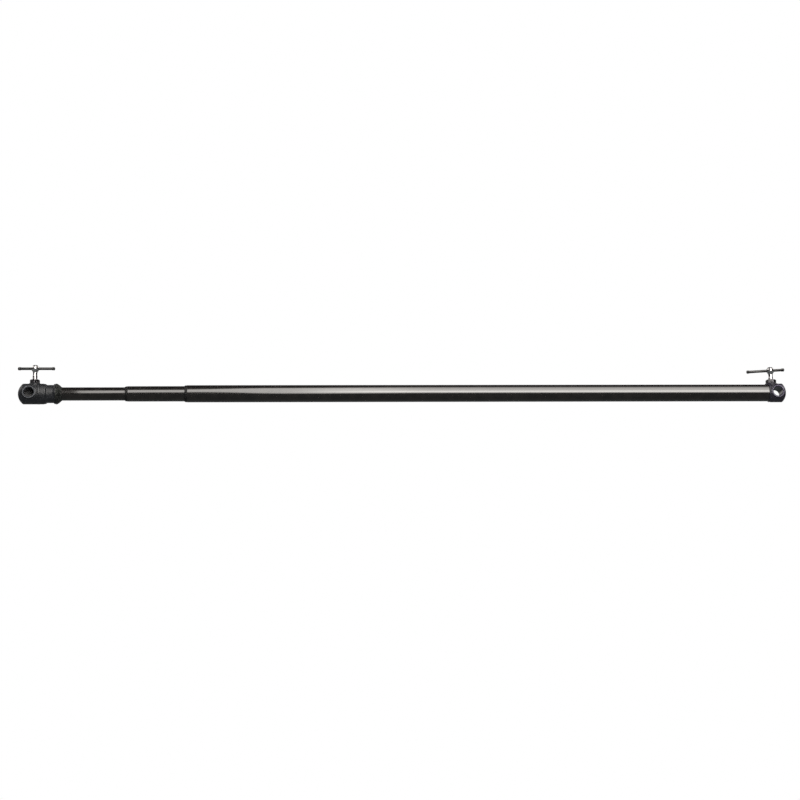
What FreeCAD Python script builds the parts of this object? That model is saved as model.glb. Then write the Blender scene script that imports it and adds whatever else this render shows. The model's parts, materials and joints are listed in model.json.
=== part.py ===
import FreeCAD, Part
import math
import os

import Sketcher

# Telescoping bed cargo bar: three nested steel tubes with a die-cast rail clamp at each end.
# X runs along the bar, Y along the rail bores, Z along the clamp screws. The origin is the
# centre of the right head's rail bore. Every size is in millimetres.

SHEET = "Dimensions"
DIMENSIONS = {
    # tubes, at the rest extension
    "outer_diameter": 35.0,
    "middle_diameter": 31.2,
    "inner_diameter": 27.0,
    "tube_wall": 1.2,
    "outer_length": 1200.0,
    "middle_length": 360.0,
    "inner_length": 377.0,
    "middle_exposed": 120.5,
    "inner_exposed": 132.0,
    "tube_chamfer": 0.4,
    # fits
    "running_gap": 0.1,
    "screw_gap": 0.05,
    "seat_gap": 0.05,
    # nylon liners in the tube mouths and glides on the hidden tube ends
    "outer_liner_length": 60.0,
    "middle_liner_length": 50.0,
    "liner_nose": 4.6,
    "nose_tip_wall": 0.9,
    "glide_plug": 15.0,
    "glide_flange": 12.0,
    "glide_wall": 2.5,
    # rail bores
    "bore_radius": 9.7,
    "bore_chamfer": 1.2,
    "socket_floor": 12.0,
    "drum_radius": 13.6,
    "drum_inset": 0.3,
    # right head, measured from its rail bore
    "right_dome_reach": 19.5,
    "right_dome_edge": 11.2,
    "right_barrel": 19.4,
    "right_shoulder": 17.5,
    "rim_width": 3.1,
    "rim_radius": 19.1,
    "rim_groove": 1.0,
    "rim_groove_radius": 18.6,
    "spigot_length": 42.0,
    "spigot_core": 11.0,
    "spigot_core_depth": 35.0,
    # left head, measured from its rail bore
    "left_dome_reach": 23.5,
    "left_dome_edge": 12.9,
    "left_barrel": 21.0,
    "barrel_end": 29.3,
    "collar_land_radius": 20.3,
    "land_end": 33.2,
    "sleeve_start": 35.0,
    "sleeve_radius": 18.4,
    "sleeve_end": 48.6,
    "flare_radius": 20.6,
    "flare_start": 50.2,
    "head_end": 52.4,
    "tube_socket_floor": 20.0,
    "bead_offset": 18.3,
    "bead_radius": 1.0,
    "bead_height": 0.45,
    # domed collar on the inner tube
    "collar_end": 65.0,
    "collar_peak": 55.0,
    "collar_radius": 21.2,
    "collar_shoulder": 61.0,
    "collar_shoulder_radius": 17.6,
    "collar_lip_radius": 14.4,
    # clamp screw train, shared by both ends
    "screw_offset": 10.0,
    "left_lift": 7.0,
    "right_lift": 1.5,
    "hub_height": 46.0,
    "hub_radius": 8.0,
    "hub_top": 7.0,
    "neck_top": 9.5,
    "neck_radius": 4.4,
    "thread_start": 16.5,
    "thread_radius": 5.0,
    "shoe_top": 13.2,
    "shoe_bottom": -0.6,
    "shoe_radius": 5.2,
    "pocket_radius": 5.3,
    "pocket_floor": -1.9,
    "journal_radius": 3.0,
    "journal_length": 4.8,
    "ring_centre": 2.4,
    "ring_groove_radius": 2.4,
    "ring_inner": 2.5,
    "ring_outer": 3.6,
    "ring_width": 0.8,
    # threaded hex bush and its boss
    "hex_flats": 19.0,
    "hex_height": 8.0,
    "hex_chamfer": 1.6,
    "shank_radius": 7.0,
    "shank_length": 8.0,
    "shank_ceiling": 0.5,
    "boss_radius": 12.6,
    "boss_foot_radius": 15.0,
    "boss_height": 4.6,
    "left_seat": 21.0,
    "right_seat": 19.5,
    # tommy bars
    "bar_radius": 2.75,
    "bar_hole": 3.3,
    "left_bar_length": 73.5,
    "right_bar_length": 78.5,
    "cap_radius": 3.4,
    "cap_length": 6.0,
    "cap_end": 1.0,
    "cap_round": 1.6,
    "right_bar_slip": 10.35,
    "left_bar_slip": 2.5,
    # slotted spring pins
    "pin_radius": 2.5,
    "pin_wall": 0.6,
    "pin_slot": 1.0,
    "right_pin_offset": 16.0,
    "left_pin_offset": 42.0,
}
# angles in degrees
LEFT_BAR_DROOP = 0.0
RIGHT_BAR_DROOP = 3.5
LEFT_HEX_TURN = 0.0
RIGHT_HEX_TURN = 15.0
SNAP_RING_ARC = 320.0
FULL_TURN = 360.0
HALF_TURN = 180.0
QUARTER_TURN = 90.0
HEX_SIDES = 6
HEX_CHAMFER_SLOPE = math.tan(math.radians(30))
# how far a cutting shape runs past the surface that it cuts
OVERCUT = 5.0


class Size:
    """A length that knows both its value and the spreadsheet expression it comes from."""

    def __init__(self, value, text):
        self.value = value
        self.text = text

    def join(self, sign, other, value):
        return Size(value, f"({self.text} {sign} {as_size(other).text})")

    def __add__(self, other):
        return self.join("+", other, self.value + as_size(other).value)

    def __sub__(self, other):
        return self.join("-", other, self.value - as_size(other).value)

    def __mul__(self, factor):
        return self.join("*", factor, self.value * as_size(factor).value)

    def __truediv__(self, factor):
        return self.join("/", factor, self.value / as_size(factor).value)

    def __neg__(self):
        return Size(-self.value, f"(-1 * {self.text})")


def as_size(number):
    return number if isinstance(number, Size) else Size(float(number), repr(float(number)))


document = FreeCAD.newDocument("BedCargoBar")


def make_sheet():
    """Writes every driving dimension to the spreadsheet and returns them as sizes."""
    sheet = document.addObject("Spreadsheet::Sheet", SHEET)
    sizes = {}
    for row, (name, value) in enumerate(DIMENSIONS.items(), start=1):
        sheet.set(f"A{row}", name)
        sheet.set(f"B{row}", str(value))
        sheet.setAlias(f"B{row}", name)
        sizes[name] = Size(value, f"{SHEET}.{name}")
    document.recompute()
    return sizes


D = make_sheet()
ZERO = as_size(0)
PARTS = []


# ---------------------------------------------------------------- building blocks


def new_body(label, x=ZERO, z=ZERO, turn=None):
    """A body for one physical piece, placed by expressions; turn is its rotation."""
    body = document.addObject("PartDesign::Body", label)
    body.Label = label
    body.Placement = FreeCAD.Placement(
        FreeCAD.Vector(x.value, 0, z.value), turn or FreeCAD.Rotation()
    )
    body.setExpression(".Placement.Base.x", x.text)
    body.setExpression(".Placement.Base.z", z.text)
    PARTS.append(body)
    return body


def new_sketch(body, name, role):
    sketch = body.newObject("Sketcher::SketchObject", name)
    plane = next(item for item in body.Origin.OriginFeatures if item.Role == role)
    sketch.AttachmentSupport = [(plane, "")]
    sketch.MapMode = "FlatFace"
    return sketch


def pin_point(sketch, geometry, vertex, x, y):
    """Holds one vertex at (x, y) from the sketch origin with two driven constraints."""
    for kind, size in (("DistanceX", x), ("DistanceY", y)):
        index = sketch.addConstraint(
            Sketcher.Constraint(kind, -1, 1, geometry, vertex, size.value)
        )
        sketch.setExpression(f"Constraints[{index}]", size.text)


def arc_centre(start, end):
    """The point of the horizontal axis that is equally far from start and end."""
    difference = end.x ** 2 + end.y ** 2 - start.x ** 2 - start.y ** 2
    return FreeCAD.Vector(difference / (2 * (end.x - start.x)), 0, 0)


def outline(sketch, corners, arcs=()):
    """A closed outline through corners. arcs holds the numbers of the sides that are arcs
    centred on the sketch's horizontal axis; every other side is straight."""
    corners = [(as_size(x), as_size(y)) for x, y in corners]
    points = [FreeCAD.Vector(x.value, y.value, 0) for x, y in corners]
    sides = []
    for number, start in enumerate(points):
        end = points[(number + 1) % len(points)]
        if number in arcs:
            middle = arc_centre(start, end)
            radius = (start - middle).Length
            first = math.atan2(start.y, start.x - middle.x)
            last = math.atan2(end.y, end.x - middle.x)
            flipped = first > last
            if flipped:
                first, last = last, first
            ring = Part.Circle(middle, FreeCAD.Vector(0, 0, 1), radius)
            side = sketch.addGeometry(Part.ArcOfCircle(ring, first, last))
            sketch.addConstraint(Sketcher.Constraint("PointOnObject", side, 3, -1))
            sides.append((side, 2, 1) if flipped else (side, 1, 2))
        else:
            sides.append((sketch.addGeometry(Part.LineSegment(start, end)), 1, 2))
    for number, (side, start_vertex, _) in enumerate(sides):
        before, _, end_vertex = sides[number - 1]
        sketch.addConstraint(
            Sketcher.Constraint("Coincident", before, end_vertex, side, start_vertex)
        )
        pin_point(sketch, side, start_vertex, *corners[number])
    return sketch


def turned(body, name, corners, arcs=(), axis="H_Axis", arc=FULL_TURN, plane="XZ_Plane"):
    """A revolved outline: about the plane's first axis with H_Axis, its second with V_Axis."""
    sketch = outline(new_sketch(body, f"{name}_outline", plane), corners, arcs)
    revolution = body.newObject("PartDesign::Revolution", name)
    revolution.Profile = sketch
    revolution.ReferenceAxis = (sketch, [axis])
    revolution.Angle = arc
    return revolution


def grooved(body, name, corners, plane="XZ_Plane"):
    """An outline turned about the plane's second axis and taken off the body."""
    sketch = outline(new_sketch(body, f"{name}_outline", plane), corners)
    groove = body.newObject("PartDesign::Groove", name)
    groove.Profile = sketch
    groove.ReferenceAxis = (sketch, ["V_Axis"])
    groove.Angle = FULL_TURN


def primitive(body, kind, name, sizes, x=ZERO, y=ZERO, z=ZERO, turn=None):
    """An additive or subtractive PartDesign primitive, its sizes and place bound."""
    feature = body.newObject(f"PartDesign::{kind}", name)
    for field, size in sizes.items():
        setattr(feature, field, as_size(size).value)
        feature.setExpression(field, as_size(size).text)
    feature.Placement = FreeCAD.Placement(FreeCAD.Vector(), turn or FreeCAD.Rotation())
    for letter, size in (("x", x), ("y", y), ("z", z)):
        feature.setExpression(f".Placement.Base.{letter}", as_size(size).text)
    return feature


ALONG_X = FreeCAD.Rotation(FreeCAD.Vector(0, 1, 0), QUARTER_TURN)
ALONG_Y = FreeCAD.Rotation(FreeCAD.Vector(1, 0, 0), -QUARTER_TURN)
FACING_LEFT = FreeCAD.Rotation(FreeCAD.Vector(0, 0, 1), HALF_TURN)


def turned_about_z(degrees):
    return FreeCAD.Rotation(FreeCAD.Vector(0, 0, 1), degrees)


# ---------------------------------------------------------------- places along the bar

OUTER_MOUTH = -(D["right_shoulder"] + D["outer_length"])
MIDDLE_MOUTH = OUTER_MOUTH - D["middle_exposed"]
LEFT_BORE = MIDDLE_MOUTH - D["inner_exposed"] - D["collar_end"]
OUTER_BORE_RADIUS = D["outer_diameter"] / 2 - D["tube_wall"]
MIDDLE_BORE_RADIUS = D["middle_diameter"] / 2 - D["tube_wall"]
INNER_BORE_RADIUS = D["inner_diameter"] / 2 - D["tube_wall"]


# ---------------------------------------------------------------- tubes


def make_tube(label, x, diameter, length, pin_x=None):
    """A round tube from its mouth at x, with a cross hole for a spring pin at pin_x."""
    body = new_body(label, x)
    outer = diameter / 2
    inner = outer - D["tube_wall"]
    edge = D["tube_chamfer"]
    turned(body, f"{label}_wall", [
        (edge, inner), (length - edge, inner), (length, inner + edge),
        (length, outer - edge), (length - edge, outer), (edge, outer),
        (0, outer - edge), (0, inner + edge),
    ])
    if pin_x is not None:
        primitive(body, "SubtractiveCylinder", f"{label}_pin_hole",
                  {"Radius": D["pin_radius"], "Height": diameter + OVERCUT},
                  x=pin_x, z=-(diameter + OVERCUT) / 2)
    return body


def make_mouth_liner(label, x, bore, inner_tube_diameter, length, outer_diameter):
    """The nylon sleeve in a tube's mouth, with the rounded nose that covers the tube's edge."""
    body = new_body(label, x)
    hole = inner_tube_diameter / 2 + D["running_gap"]
    sleeve = bore - D["seat_gap"]
    nose = -D["liner_nose"]
    flange = outer_diameter / 2 - D["tube_chamfer"]
    turned(body, f"{label}_sleeve", [
        (nose, hole), (length, hole), (length, sleeve), (0, sleeve), (0, flange),
        (nose / 2, flange), (nose, hole + D["nose_tip_wall"]),
    ])
    return body


def make_tail_glide(label, x, tube_bore, guide_bore, plug_gap):
    """The nylon glide on a tube's hidden end: a plug in the tube and a flange that runs
    in the larger tube and meets that tube's mouth liner at full extension."""
    body = new_body(label, x)
    plug = tube_bore - plug_gap
    hole = plug - D["glide_wall"]
    flange = guide_bore - D["running_gap"]
    edge = D["glide_wall"] / 2
    turned(body, f"{label}_plug", [
        (-D["glide_plug"], hole), (D["glide_flange"], hole), (D["glide_flange"], flange - edge),
        (D["glide_flange"] - edge, flange), (ZERO, flange), (ZERO, plug),
        (-D["glide_plug"] + edge, plug), (-D["glide_plug"], plug - edge),
    ])
    return body


# ---------------------------------------------------------------- clamp heads


def add_cross_drum(body, label, barrel):
    """The round boss along Y that carries the rail bore."""
    face = barrel - D["drum_inset"]
    edge = D["tube_wall"]
    turned(body, f"{label}_drum", [
        (0, -face), (D["drum_radius"] - edge, -face), (D["drum_radius"], -face + edge),
        (D["drum_radius"], face - edge), (D["drum_radius"] - edge, face), (0, face),
    ], axis="V_Axis", plane="XY_Plane")
    return face


def add_screw_boss(body, label, seat):
    """The tapered boss under the hex bush, with a flat seat on top."""
    primitive(body, "AdditiveCone", f"{label}_boss",
              {"Radius1": D["boss_foot_radius"], "Radius2": D["boss_radius"],
               "Height": D["boss_height"]},
              x=-D["screw_offset"], z=seat - D["boss_height"])
    primitive(body, "SubtractiveCylinder", f"{label}_seat",
              {"Radius": D["boss_radius"], "Height": OVERCUT}, x=-D["screw_offset"], z=seat)


def cut_screw_pocket(body, label, seat):
    """The stepped hole for the bush's shank and, below it, the clamp shoe."""
    primitive(body, "SubtractiveCylinder", f"{label}_shoe_pocket",
              {"Radius": D["pocket_radius"], "Height": seat - D["pocket_floor"]},
              x=-D["screw_offset"], z=D["pocket_floor"])
    primitive(body, "SubtractiveCylinder", f"{label}_bush_hole",
              {"Radius": D["shank_radius"] + D["seat_gap"],
               "Height": D["shank_length"] + OVERCUT},
              x=-D["screw_offset"], z=seat - D["shank_length"])


def cut_rail_bore(body, label, face, blind):
    """The rail bore with chamfered mouths. A blind one opens towards +Y only."""
    radius = D["bore_radius"]
    edge = D["bore_chamfer"]
    mouth = [(radius, face - edge), (radius + edge + OVERCUT, face + OVERCUT), (0, face + OVERCUT)]
    if blind:
        floor = [(0, -D["socket_floor"]), (radius, -D["socket_floor"])]
    else:
        floor = [(0, -face - OVERCUT), (radius + edge + OVERCUT, -face - OVERCUT),
                 (radius, -face + edge)]
    grooved(body, f"{label}_bore", floor + mouth, plane="XY_Plane")


def cut_pin_hole(body, label, x, length):
    primitive(body, "SubtractiveCylinder", f"{label}_pin_hole",
              {"Radius": D["pin_radius"], "Height": length + OVERCUT},
              x=x, z=-(length + OVERCUT) / 2)


def make_right_head():
    """The head on the outer tube: its spigot fills the tube's end."""
    label = "right_clamp_head"
    body = new_body(label)
    shoulder = -D["right_shoulder"]
    spigot = OUTER_BORE_RADIUS - D["seat_gap"]
    tail = shoulder - D["spigot_length"]
    rim_end = shoulder + D["rim_width"]
    edge = D["tube_chamfer"]
    turned(body, "right_barrel", [
        (D["right_dome_reach"], 0), (D["right_dome_edge"], D["right_barrel"]),
        (rim_end + D["rim_groove"] + edge, D["right_barrel"]),
        (rim_end + D["rim_groove"], D["rim_groove_radius"]), (rim_end, D["rim_groove_radius"]),
        (rim_end - edge, D["rim_radius"]), (shoulder + edge, D["rim_radius"]),
        (shoulder, D["rim_radius"] - edge), (shoulder, spigot), (tail + edge, spigot),
        (tail, spigot - edge), (tail, D["spigot_core"]),
        (tail + D["spigot_core_depth"], D["spigot_core"]), (tail + D["spigot_core_depth"], 0),
    ], arcs=(0,))
    add_screw_boss(body, "right", D["right_seat"])
    primitive(body, "SubtractiveCylinder", "right_tube_relief",
              {"Radius": D["outer_diameter"] / 2 + D["seat_gap"], "Height": D["spigot_length"]},
              x=tail, turn=ALONG_X)
    primitive(body, "AdditiveCylinder", "right_spigot",
              {"Radius": spigot, "Height": D["spigot_length"] + edge}, x=tail, turn=ALONG_X)
    primitive(body, "SubtractiveCylinder", "right_spigot_bore",
              {"Radius": D["spigot_core"], "Height": D["spigot_core_depth"]},
              x=tail, turn=ALONG_X)
    face = add_cross_drum(body, "right", D["right_barrel"])
    cut_screw_pocket(body, "right", D["right_seat"])
    cut_rail_bore(body, "right", face, blind=False)
    cut_pin_hole(body, "right", shoulder - D["right_pin_offset"], D["outer_diameter"])
    return body


def make_left_head():
    """The head on the inner tube. It faces left, so its own +X points away from the tube."""
    label = "left_clamp_head"
    body = new_body(label, LEFT_BORE, turn=FACING_LEFT)
    socket = D["inner_diameter"] / 2 + D["seat_gap"]
    step = D["tube_wall"] / 2
    turned(body, "left_barrel_body", [
        (D["left_dome_reach"], 0), (D["left_dome_edge"], D["left_barrel"]),
        (-D["barrel_end"], D["left_barrel"]), (-D["barrel_end"] - step, D["collar_land_radius"]),
        (-D["land_end"], D["collar_land_radius"]), (-D["sleeve_start"], D["sleeve_radius"]),
        (-D["sleeve_end"], D["sleeve_radius"]), (-D["flare_start"], D["flare_radius"]),
        (-D["head_end"], D["flare_radius"]), (-D["head_end"], socket),
        (-D["tube_socket_floor"], socket), (-D["tube_socket_floor"], 0),
    ], arcs=(0,))
    primitive(body, "AdditiveTorus", "left_bead",
              {"Radius1": D["left_barrel"] - D["bead_radius"] + D["bead_height"],
               "Radius2": D["bead_radius"]},
              x=-D["bead_offset"], turn=ALONG_X)
    add_screw_boss(body, "left", D["left_seat"])
    face = add_cross_drum(body, "left", D["left_barrel"])
    cut_screw_pocket(body, "left", D["left_seat"])
    cut_rail_bore(body, "left", face, blind=True)
    cut_pin_hole(body, "left", -D["left_pin_offset"], D["sleeve_radius"] * 2)
    return body


def make_tube_collar():
    """The domed ring that closes the left head over the inner tube."""
    body = new_body("left_tube_collar", LEFT_BORE, turn=FACING_LEFT)
    hole = D["inner_diameter"] / 2 + D["seat_gap"]
    step = D["tube_wall"]
    peak = D["collar_peak"]
    turned(body, "collar_ring", [
        (-D["head_end"], hole), (-D["head_end"], D["flare_radius"]),
        (-D["head_end"] - step, D["collar_radius"] - D["tube_chamfer"] / 2),
        (-peak, D["collar_radius"]), (-peak - step * 2, D["collar_radius"] - step),
        (-D["collar_shoulder"], D["collar_shoulder_radius"]),
        (-D["collar_end"] + step, D["collar_lip_radius"]),
        (-D["collar_end"], D["collar_lip_radius"]), (-D["collar_end"], hole),
    ])
    return body


# ---------------------------------------------------------------- clamp screw train


def make_hex_bush(label, x, seat, facing, hex_turn):
    """The threaded steel bush: a hexagon above the boss and a hollow shank inside it."""
    turn = facing.multiply(turned_about_z(hex_turn))
    body = new_body(label, x, seat, turn)
    corner_radius = D["hex_flats"] / math.sqrt(3)
    bearings = [math.radians(FULL_TURN * corner / HEX_SIDES) for corner in range(HEX_SIDES)]
    sketch = outline(new_sketch(body, f"{label}_hexagon", "XY_Plane"), [
        (corner_radius * math.cos(bearing), corner_radius * math.sin(bearing))
        for bearing in bearings
    ])
    head = body.newObject("PartDesign::Pad", f"{label}_head")
    head.Profile = sketch
    head.setExpression("Length", D["hex_height"].text)
    top = D["hex_height"]
    grooved(body, f"{label}_trim", [
        (corner_radius - D["hex_chamfer"], top), (corner_radius + OVERCUT, top),
        (corner_radius + OVERCUT, top - (D["hex_chamfer"] + OVERCUT) * HEX_CHAMFER_SLOPE),
    ])
    primitive(body, "AdditiveCylinder", f"{label}_shank",
              {"Radius": D["shank_radius"], "Height": D["shank_length"]}, z=-D["shank_length"])
    primitive(body, "SubtractiveCylinder", f"{label}_thread_bore",
              {"Radius": D["thread_radius"], "Height": D["hex_height"] + OVERCUT * 2},
              z=-OVERCUT)
    primitive(body, "SubtractiveCylinder", f"{label}_shoe_bore",
              {"Radius": D["pocket_radius"], "Height": D["shank_length"] + OVERCUT
               - D["shank_ceiling"]},
              z=-(D["shank_length"] + OVERCUT))
    return body


def make_clamp_shoe(label, x, lift, facing):
    """The plug that the screw pushes down beside the rail: its scallop fits the rail."""
    body = new_body(label, x, lift, facing)
    edge = D["tube_chamfer"]
    turned(body, f"{label}_plug", [
        (0, D["shoe_bottom"]), (D["shoe_radius"] - edge, D["shoe_bottom"]),
        (D["shoe_radius"], D["shoe_bottom"] + edge), (D["shoe_radius"], D["shoe_top"] - edge),
        (D["shoe_radius"] - edge, D["shoe_top"]), (0, D["shoe_top"]),
    ], axis="V_Axis")
    reach = D["shoe_radius"] * 2 + OVERCUT
    primitive(body, "SubtractiveCylinder", f"{label}_scallop",
              {"Radius": D["bore_radius"], "Height": reach},
              x=D["screw_offset"], y=-reach / 2, turn=ALONG_Y)
    primitive(body, "SubtractiveCylinder", f"{label}_journal_hole",
              {"Radius": D["journal_radius"] + D["running_gap"],
               "Height": D["journal_length"] + D["running_gap"] + OVERCUT},
              z=D["shoe_top"] - D["journal_length"] - D["running_gap"])
    primitive(body, "SubtractiveCylinder", f"{label}_ring_groove",
              {"Radius": D["ring_outer"] + D["seat_gap"], "Height": D["ring_width"]
               + D["seat_gap"] * 2},
              z=D["shoe_top"] - D["ring_centre"] - D["ring_width"] / 2 - D["seat_gap"])
    return body


def make_snap_ring(label, x, lift, facing):
    """The open ring in the shoe that holds the screw's journal."""
    body = new_body(label, x, lift, facing)
    middle = D["shoe_top"] - D["ring_centre"]
    turned(body, f"{label}_wire", [
        (D["ring_inner"], middle - D["ring_width"] / 2),
        (D["ring_outer"], middle - D["ring_width"] / 2),
        (D["ring_outer"], middle + D["ring_width"] / 2),
        (D["ring_inner"], middle + D["ring_width"] / 2),
    ], axis="V_Axis", arc=SNAP_RING_ARC)
    return body


def make_t_screw(label, x, lift, facing):
    """The T-screw from its ball hub down to the journal that turns in the shoe."""
    body = new_body(label, x, lift + D["hub_height"], facing)
    thread = D["thread_radius"] - D["screw_gap"]
    journal_top = -(D["hub_height"] - D["shoe_top"])
    journal_end = journal_top - D["journal_length"]
    journal = D["journal_radius"]
    groove_top = journal_top - D["ring_centre"] + D["ring_width"]
    groove_floor = journal_top - D["ring_centre"] - D["ring_width"]
    edge = D["tube_chamfer"]
    profile = [
        (0, journal_end), (journal - edge, journal_end), (journal, journal_end + edge),
        (journal, groove_floor), (D["ring_groove_radius"], groove_floor),
        (D["ring_groove_radius"], groove_top), (journal, groove_top), (journal, journal_top),
        (thread - edge, journal_top), (thread, journal_top + edge),
        (thread, -D["thread_start"]), (D["neck_radius"], -D["neck_top"]),
        (D["neck_radius"] + edge, -D["neck_top"] + D["tube_wall"]), (0, -D["hub_top"] + edge),
    ]
    turned(body, f"{label}_stem", profile, axis="V_Axis")
    primitive(body, "AdditiveSphere", f"{label}_hub", {"Radius": D["hub_radius"]})
    primitive(body, "SubtractiveBox", f"{label}_crown",
              {"Length": D["hub_radius"] * 4, "Width": D["hub_radius"] * 4,
               "Height": D["hub_radius"]},
              x=-D["hub_radius"] * 2, y=-D["hub_radius"] * 2, z=D["hub_top"])
    primitive(body, "SubtractiveCylinder", f"{label}_cross_hole",
              {"Radius": D["bar_hole"], "Height": D["hub_radius"] * 2 + OVERCUT},
              x=-(D["hub_radius"] * 2 + OVERCUT) / 2, turn=ALONG_X)
    return body


def make_tommy_bar(label, x, z, turn, length):
    """The plain sliding bar through the hub."""
    body = new_body(label, x, z, turn)
    primitive(body, "AdditiveCylinder", f"{label}_rod",
              {"Radius": D["bar_radius"], "Height": length}, x=-length / 2, turn=ALONG_X)
    return body


def make_bar_caps(label, x, z, turn, bar_length):
    """The two pressed caps that keep the bar in the hub, one on each end."""
    body = new_body(label, x, z, turn)
    hole = D["bar_radius"]
    cap = D["cap_radius"]
    bar_end = bar_length / 2
    tip = bar_end + D["cap_end"]
    rim = tip - D["cap_length"]
    ends = {
        "right": (tip, rim, bar_end, tip - D["cap_round"]),
        "left": (-tip, -rim, -bar_end, -tip + D["cap_round"]),
    }
    for side, (tip_x, rim_x, floor_x, round_x) in ends.items():
        turned(body, f"{label}_{side}", [
            (tip_x, 0), (tip_x, cap - D["cap_round"]), (round_x, cap), (rim_x, cap),
            (rim_x, hole), (floor_x, hole), (floor_x, 0),
        ])
    return body


def make_spring_pin(label, x, length, facing=None):
    """A slotted spring pin, upright through a tube and its head."""
    body = new_body(label, x, -length / 2, facing)
    radius = D["pin_radius"] - D["seat_gap"] / 2
    edge = D["pin_wall"] / 2
    turned(body, f"{label}_wall", [
        (radius - D["pin_wall"], 0), (radius - edge, 0), (radius, edge),
        (radius, length - edge), (radius - edge, length), (radius - D["pin_wall"], length),
    ], axis="V_Axis")
    primitive(body, "SubtractiveBox", f"{label}_slot",
              {"Length": D["pin_radius"] * 2, "Width": D["pin_slot"],
               "Height": length + OVERCUT * 2},
              y=-D["pin_slot"] / 2, z=-OVERCUT)
    return body


def make_clamp_train(side, bore_x, lift, seat, facing, hex_turn, bar_slip, bar_droop):
    """The screw, shoe and tommy bar of one end, around the screw's own axis."""
    inboard = 1 if side == "left" else -1
    axis_x = bore_x + D["screw_offset"] * inboard
    hub_z = lift + D["hub_height"]
    droop = FreeCAD.Rotation(FreeCAD.Vector(0, 1, 0), -bar_droop)
    slip_x = axis_x - bar_slip * math.cos(math.radians(bar_droop))
    slip_z = hub_z - bar_slip * math.sin(math.radians(bar_droop))
    make_hex_bush(f"{side}_hex_bush", axis_x, seat, facing, hex_turn)
    make_clamp_shoe(f"{side}_clamp_shoe", axis_x, lift, facing)
    make_snap_ring(f"{side}_shoe_ring", axis_x, lift, facing)
    make_t_screw(f"{side}_t_screw", axis_x, lift, facing)
    bar_length = D[f"{side}_bar_length"]
    make_tommy_bar(f"{side}_tommy_bar", slip_x, slip_z, droop, bar_length)
    make_bar_caps(f"{side}_tommy_bar_caps", slip_x, slip_z, droop, bar_length)


# ---------------------------------------------------------------- assembly


def build():
    make_tube("outer_tube", OUTER_MOUTH, D["outer_diameter"], D["outer_length"],
              pin_x=D["outer_length"] - D["right_pin_offset"])
    make_mouth_liner("outer_mouth_liner", OUTER_MOUTH, OUTER_BORE_RADIUS,
                     D["middle_diameter"], D["outer_liner_length"], D["outer_diameter"])
    make_right_head()
    make_spring_pin("right_head_pin", -D["right_shoulder"] - D["right_pin_offset"],
                    D["outer_diameter"] - D["tube_wall"])
    make_clamp_train("right", ZERO, D["right_lift"], D["right_seat"], FreeCAD.Rotation(),
                     RIGHT_HEX_TURN, D["right_bar_slip"], RIGHT_BAR_DROOP)

    make_tube("middle_tube", MIDDLE_MOUTH, D["middle_diameter"], D["middle_length"])
    make_mouth_liner("middle_mouth_liner", MIDDLE_MOUTH, MIDDLE_BORE_RADIUS,
                     D["inner_diameter"], D["middle_liner_length"], D["middle_diameter"])
    make_tail_glide("middle_tail_glide", MIDDLE_MOUTH + D["middle_length"],
                    MIDDLE_BORE_RADIUS, OUTER_BORE_RADIUS, D["seat_gap"])

    inner_start = LEFT_BORE + D["tube_socket_floor"] + D["seat_gap"]
    make_tube("inner_tube", inner_start, D["inner_diameter"], D["inner_length"],
              pin_x=D["left_pin_offset"] - D["tube_socket_floor"] - D["seat_gap"])
    make_tail_glide("inner_tail_glide", inner_start + D["inner_length"] + D["running_gap"],
                    INNER_BORE_RADIUS, MIDDLE_BORE_RADIUS, D["running_gap"])
    make_left_head()
    make_tube_collar()
    make_spring_pin("left_head_pin", LEFT_BORE + D["left_pin_offset"],
                    D["sleeve_radius"] * 2 - D["tube_wall"])
    make_clamp_train("left", LEFT_BORE, D["left_lift"], D["left_seat"], FACING_LEFT,
                     LEFT_HEX_TURN, -D["left_bar_slip"], LEFT_BAR_DROOP)
    document.recompute()


def check():
    """Stops the build if any feature failed or any piece has no valid solid."""
    for item in document.Objects:
        if "Invalid" in item.State or "Error" in item.State:
            raise RuntimeError(f"{item.Name} failed to compute: {item.State}")
    for piece in PARTS:
        if piece.Shape.isNull() or not piece.Shape.isValid() or not piece.Shape.Solids:
            raise RuntimeError(f"{piece.Label} has no valid solid")


def export():
    os.makedirs("parts", exist_ok=True)
    for piece in PARTS:
        piece.Shape.exportStep(f"parts/{piece.Label}.step")
        box = piece.Shape.BoundBox
        print(f"{piece.Label:24s} solids {len(piece.Shape.Solids)}"
              f" volume {piece.Shape.Volume:10.1f}"
              f"  x {box.XMin:8.1f} {box.XMax:8.1f}  z {box.ZMin:6.1f} {box.ZMax:6.1f}")


build()
check()
export()
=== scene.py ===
import json
import math

import bmesh
import bpy
from mathutils import Matrix, Quaternion, Vector, noise


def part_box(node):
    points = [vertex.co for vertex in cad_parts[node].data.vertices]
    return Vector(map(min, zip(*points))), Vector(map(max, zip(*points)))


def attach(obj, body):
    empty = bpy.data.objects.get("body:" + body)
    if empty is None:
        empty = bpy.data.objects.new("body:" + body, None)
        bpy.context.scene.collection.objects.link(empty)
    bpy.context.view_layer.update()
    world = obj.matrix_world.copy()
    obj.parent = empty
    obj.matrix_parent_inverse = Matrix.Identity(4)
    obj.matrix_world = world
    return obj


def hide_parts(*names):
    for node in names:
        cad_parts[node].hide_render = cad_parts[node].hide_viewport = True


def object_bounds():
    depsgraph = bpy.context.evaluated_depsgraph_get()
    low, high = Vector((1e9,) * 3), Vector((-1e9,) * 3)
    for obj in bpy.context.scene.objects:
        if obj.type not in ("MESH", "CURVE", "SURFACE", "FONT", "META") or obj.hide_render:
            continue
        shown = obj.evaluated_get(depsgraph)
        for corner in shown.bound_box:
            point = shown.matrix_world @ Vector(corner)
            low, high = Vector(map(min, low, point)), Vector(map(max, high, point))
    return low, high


# The looks of a telescoping cargo bar. X runs along the bar, Y along the rail bores and Z
# along the clamp screws, in metres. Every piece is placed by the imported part's own boxes.

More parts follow.
